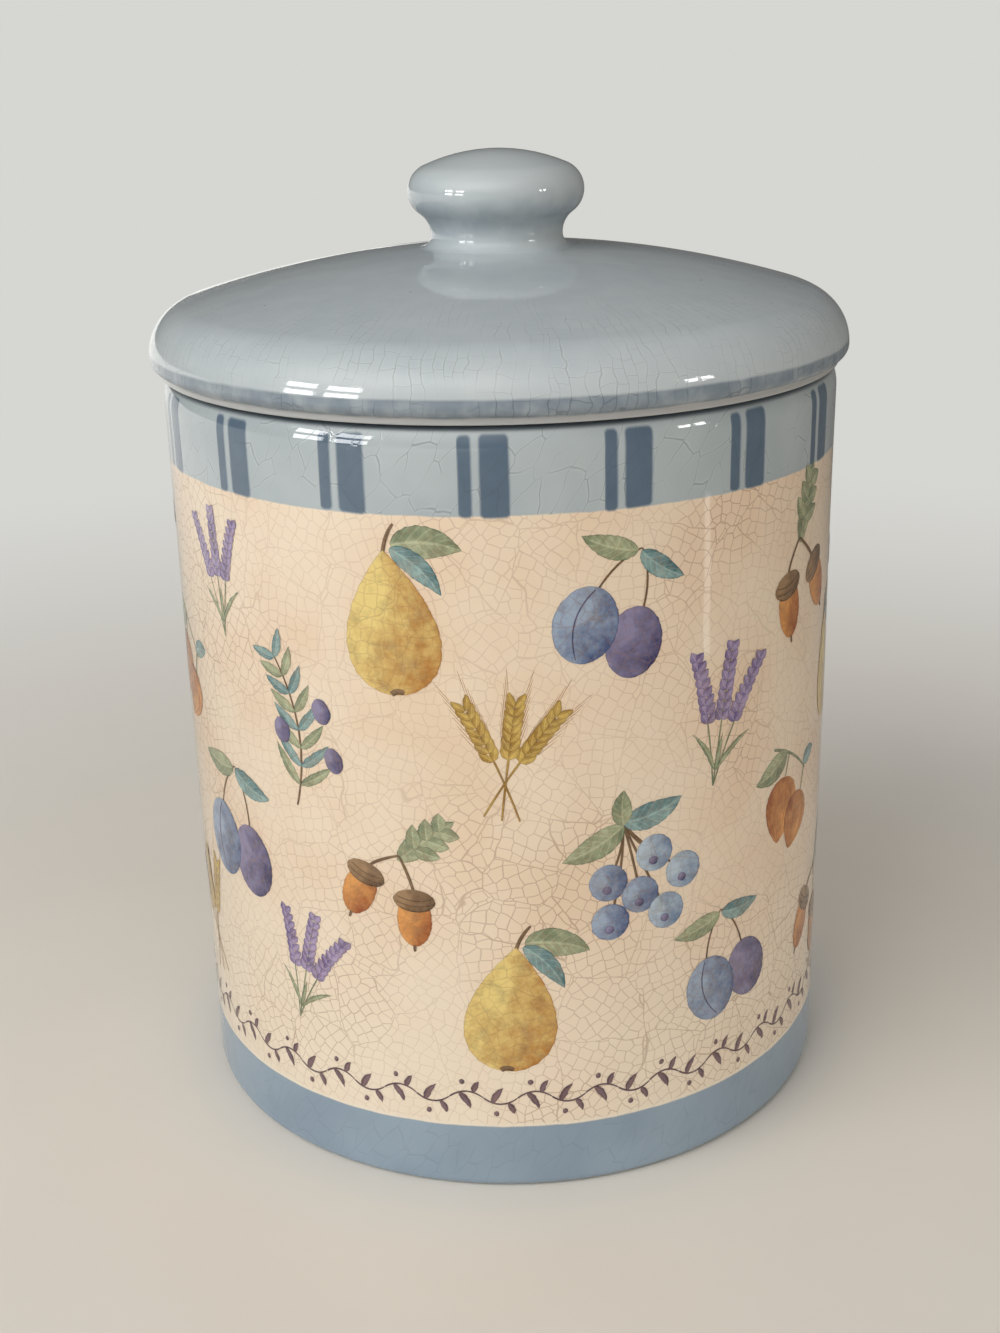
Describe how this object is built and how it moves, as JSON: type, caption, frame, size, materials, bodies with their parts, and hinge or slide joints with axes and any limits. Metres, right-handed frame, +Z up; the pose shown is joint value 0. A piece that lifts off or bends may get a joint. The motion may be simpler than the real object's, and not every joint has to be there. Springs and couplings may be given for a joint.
{
  "type": "storage canister",
  "caption": "Straight-sided glazed earthenware storage canister with a domed lift-off lid, a waisted knob and a soft seal ring round the lid's plug.",
  "frame": {"origin": "middle of the foot ring, on the surface that the canister stands on", "axes": "+Z up along the axis of the jar, -Y towards the pictured front, +X to the right of that front"},
  "size_m": [0.1568, 0.1568, 0.2166],
  "materials": {
    "jar_glaze": "glossy crackled glaze over painted bands and a printed field",
    "lid_glaze": "glossy crackled grey-blue glaze",
    "knob_glaze": "glossy grey-blue glaze",
    "seal_silicone": "milky translucent silicone"
  },
  "bodies": {
    "jar": {"jar_body": "jar_glaze"},
    "seal": {"lid_seal": "seal_silicone"},
    "lid": {"lid_cover": "lid_glaze", "lid_knob": "knob_glaze"}
  },
  "joints": [
    {"name": "lid_lift", "type": "slide", "parent": "jar", "child": "seal", "axis": [0, 0, 1], "range_m": [0, 0.12]},
    {"name": "lid_turn", "type": "hinge", "parent": "seal", "child": "lid", "pos_m": [0, 0, 0.171], "axis": [0, 0, 1], "continuous": true}
  ]
}
